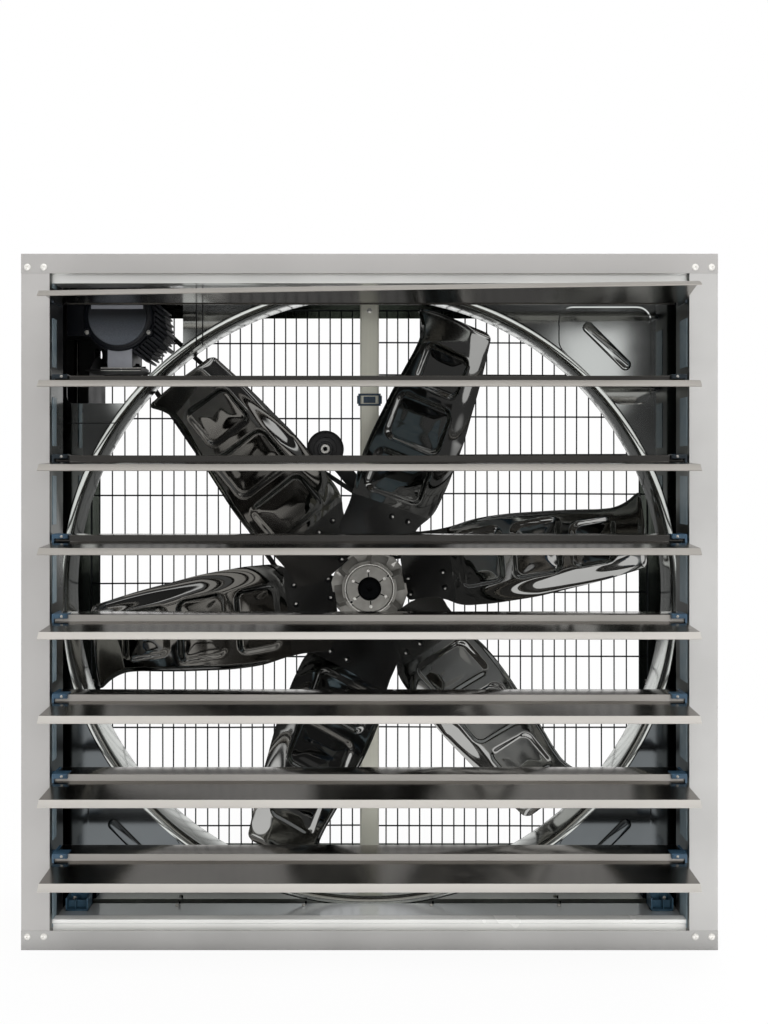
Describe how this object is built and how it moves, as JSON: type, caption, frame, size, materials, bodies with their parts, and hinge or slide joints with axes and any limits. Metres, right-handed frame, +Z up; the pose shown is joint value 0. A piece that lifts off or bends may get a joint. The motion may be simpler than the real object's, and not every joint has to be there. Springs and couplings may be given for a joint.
{
  "type": "square ventilation fan",
  "caption": "Square belt-driven box exhaust fan: sheet housing, throat ring, bladed rotor, motor and idler, rear wire guard and a linked louvre shutter that opens.",
  "frame": {"origin": "middle of the underside of the housing", "axes": "+Z up, -Y towards the shutter and air outlet, +Y towards the inlet guard, +X to the right seen from the shutter"},
  "size_m": [1.38, 0.524, 1.38],
  "materials": {
    "galvanised_sheet": "satin galvanised, faint grain",
    "orifice_sheet": "smooth galvanised, soft blurred reflections",
    "louvre_sheet": "smooth bright galvanised",
    "guard_wire": "dark zinc-plated wire",
    "polished_stainless": "mirror polished",
    "cast_aluminium": "as cast, satin",
    "blackened_steel": "black oxide",
    "turned_steel": "turned",
    "black_paint": "satin black",
    "motor_paint": "satin blue-black enamel",
    "black_plastic": "moulded, satin",
    "belt_rubber": "matte",
    "blue_plastic": "moulded nylon, satin",
    "tie_rod_plastic": "moulded grey-blue strip"
  },
  "bodies": {
    "housing": {"top_panel": "galvanised_sheet", "bottom_panel": "galvanised_sheet", "left_panel": "galvanised_sheet", "right_panel": "galvanised_sheet", "orifice_plate": "orifice_sheet", "left_jamb": "galvanised_sheet", "right_jamb": "galvanised_sheet", "top_rail": "galvanised_sheet", "bottom_rail": "galvanised_sheet", "left_corner_guide": "blue_plastic", "right_corner_guide": "blue_plastic", "left_guard": "guard_wire", "right_guard": "guard_wire", "support_bar": "galvanised_sheet", "bearing_housing": "black_paint", "drive_belt": "belt_rubber", "idler_arm": "black_paint", "motor_body": "motor_paint", "motor_front_bell": "motor_paint", "motor_rear_bell": "motor_paint", "motor_bracket": "black_paint", "terminal_box": "motor_paint"},
    "fan_rotor": {"fan_shaft": "blackened_steel", "hub": "cast_aluminium", "driven_pulley": "black_paint", "blade_1": "polished_stainless", "blade_2": "polished_stainless", "blade_3": "polished_stainless", "blade_4": "polished_stainless", "blade_5": "polished_stainless", "blade_6": "polished_stainless"},
    "motor_armature": {"motor_rotor": "turned_steel", "motor_pulley": "cast_aluminium"},
    "idler_wheel": {"idler_pulley": "black_plastic"},
    "shutter_blade_1": {"louvre_1": "louvre_sheet", "louvre_bush_left_1": "blue_plastic", "louvre_bush_right_1": "blue_plastic"},
    "shutter_blade_2": {"louvre_2": "louvre_sheet", "louvre_bush_left_2": "blue_plastic", "louvre_bush_right_2": "blue_plastic"},
    "shutter_blade_3": {"louvre_3": "louvre_sheet", "louvre_bush_left_3": "blue_plastic", "louvre_bush_right_3": "blue_plastic"},
    "shutter_blade_4": {"louvre_4": "louvre_sheet", "louvre_bush_left_4": "blue_plastic", "louvre_bush_right_4": "blue_plastic"},
    "shutter_blade_5": {"louvre_5": "louvre_sheet", "louvre_bush_left_5": "blue_plastic", "louvre_bush_right_5": "blue_plastic"},
    "shutter_blade_6": {"louvre_6": "louvre_sheet", "louvre_bush_left_6": "blue_plastic", "louvre_bush_right_6": "blue_plastic"},
    "shutter_blade_7": {"louvre_7": "louvre_sheet", "louvre_bush_left_7": "blue_plastic", "louvre_bush_right_7": "blue_plastic"},
    "shutter_blade_8": {"louvre_8": "louvre_sheet", "louvre_bush_left_8": "blue_plastic", "louvre_bush_right_8": "blue_plastic"},
    "left_link": {"left_tie_rod": "tie_rod_plastic"},
    "right_link": {"right_tie_rod": "tie_rod_plastic"}
  },
  "joints": [
    {"name": "fan_spin", "type": "hinge", "parent": "housing", "child": "fan_rotor", "pos_m": [0, 0, 0.69], "axis": [0, 1, 0], "continuous": true},
    {"name": "motor_spin", "type": "hinge", "parent": "housing", "child": "motor_armature", "pos_m": [-0.544, 0, 1.284], "axis": [0, 1, 0], "continuous": true},
    {"name": "idler_spin", "type": "hinge", "parent": "housing", "child": "idler_wheel", "pos_m": [-0.101, 0, 0.9995], "axis": [0, 1, 0], "continuous": true},
    {"name": "shutter_tilt_1", "type": "hinge", "parent": "housing", "child": "shutter_blade_1", "pos_m": [0, -0.18, 1.2881], "axis": [1, 0, 0], "range_deg": [0, 78]},
    {"name": "shutter_tilt_2", "type": "hinge", "parent": "housing", "child": "shutter_blade_2", "pos_m": [0, -0.18, 1.1308], "axis": [1, 0, 0], "range_deg": [0, 78]},
    {"name": "shutter_tilt_3", "type": "hinge", "parent": "housing", "child": "shutter_blade_3", "pos_m": [0, -0.18, 0.9735], "axis": [1, 0, 0], "range_deg": [0, 78]},
    {"name": "shutter_tilt_4", "type": "hinge", "parent": "housing", "child": "shutter_blade_4", "pos_m": [0, -0.18, 0.8162], "axis": [1, 0, 0], "range_deg": [0, 78]},
    {"name": "shutter_tilt_5", "type": "hinge", "parent": "housing", "child": "shutter_blade_5", "pos_m": [0, -0.18, 0.6589], "axis": [1, 0, 0], "range_deg": [0, 78]},
    {"name": "shutter_tilt_6", "type": "hinge", "parent": "housing", "child": "shutter_blade_6", "pos_m": [0, -0.18, 0.5016], "axis": [1, 0, 0], "range_deg": [0, 78]},
    {"name": "shutter_tilt_7", "type": "hinge", "parent": "housing", "child": "shutter_blade_7", "pos_m": [0, -0.18, 0.3443], "axis": [1, 0, 0], "range_deg": [0, 78]},
    {"name": "shutter_tilt_8", "type": "hinge", "parent": "housing", "child": "shutter_blade_8", "pos_m": [0, -0.18, 0.187], "axis": [1, 0, 0], "range_deg": [0, 78]},
    {"name": "left_link_swing", "type": "hinge", "parent": "shutter_blade_1", "child": "left_link", "pos_m": [-0.6357, -0.16109, 1.27332], "axis": [1, 0, 0], "range_deg": [-78, 0]},
    {"name": "right_link_swing", "type": "hinge", "parent": "shutter_blade_1", "child": "right_link", "pos_m": [0.6357, -0.16109, 1.27332], "axis": [1, 0, 0], "range_deg": [-78, 0]}
  ],
  "couplings": [
    {"joint": "motor_spin", "follows": "fan_spin", "ratio": 3.8049},
    {"joint": "idler_spin", "follows": "fan_spin", "ratio": -3.3693},
    {"joint": "shutter_tilt_2", "follows": "shutter_tilt_1", "ratio": 1},
    {"joint": "shutter_tilt_3", "follows": "shutter_tilt_1", "ratio": 1},
    {"joint": "shutter_tilt_4", "follows": "shutter_tilt_1", "ratio": 1},
    {"joint": "shutter_tilt_5", "follows": "shutter_tilt_1", "ratio": 1},
    {"joint": "shutter_tilt_6", "follows": "shutter_tilt_1", "ratio": 1},
    {"joint": "shutter_tilt_7", "follows": "shutter_tilt_1", "ratio": 1},
    {"joint": "shutter_tilt_8", "follows": "shutter_tilt_1", "ratio": 1},
    {"joint": "left_link_swing", "follows": "shutter_tilt_1", "ratio": -1},
    {"joint": "right_link_swing", "follows": "shutter_tilt_1", "ratio": -1}
  ]
}
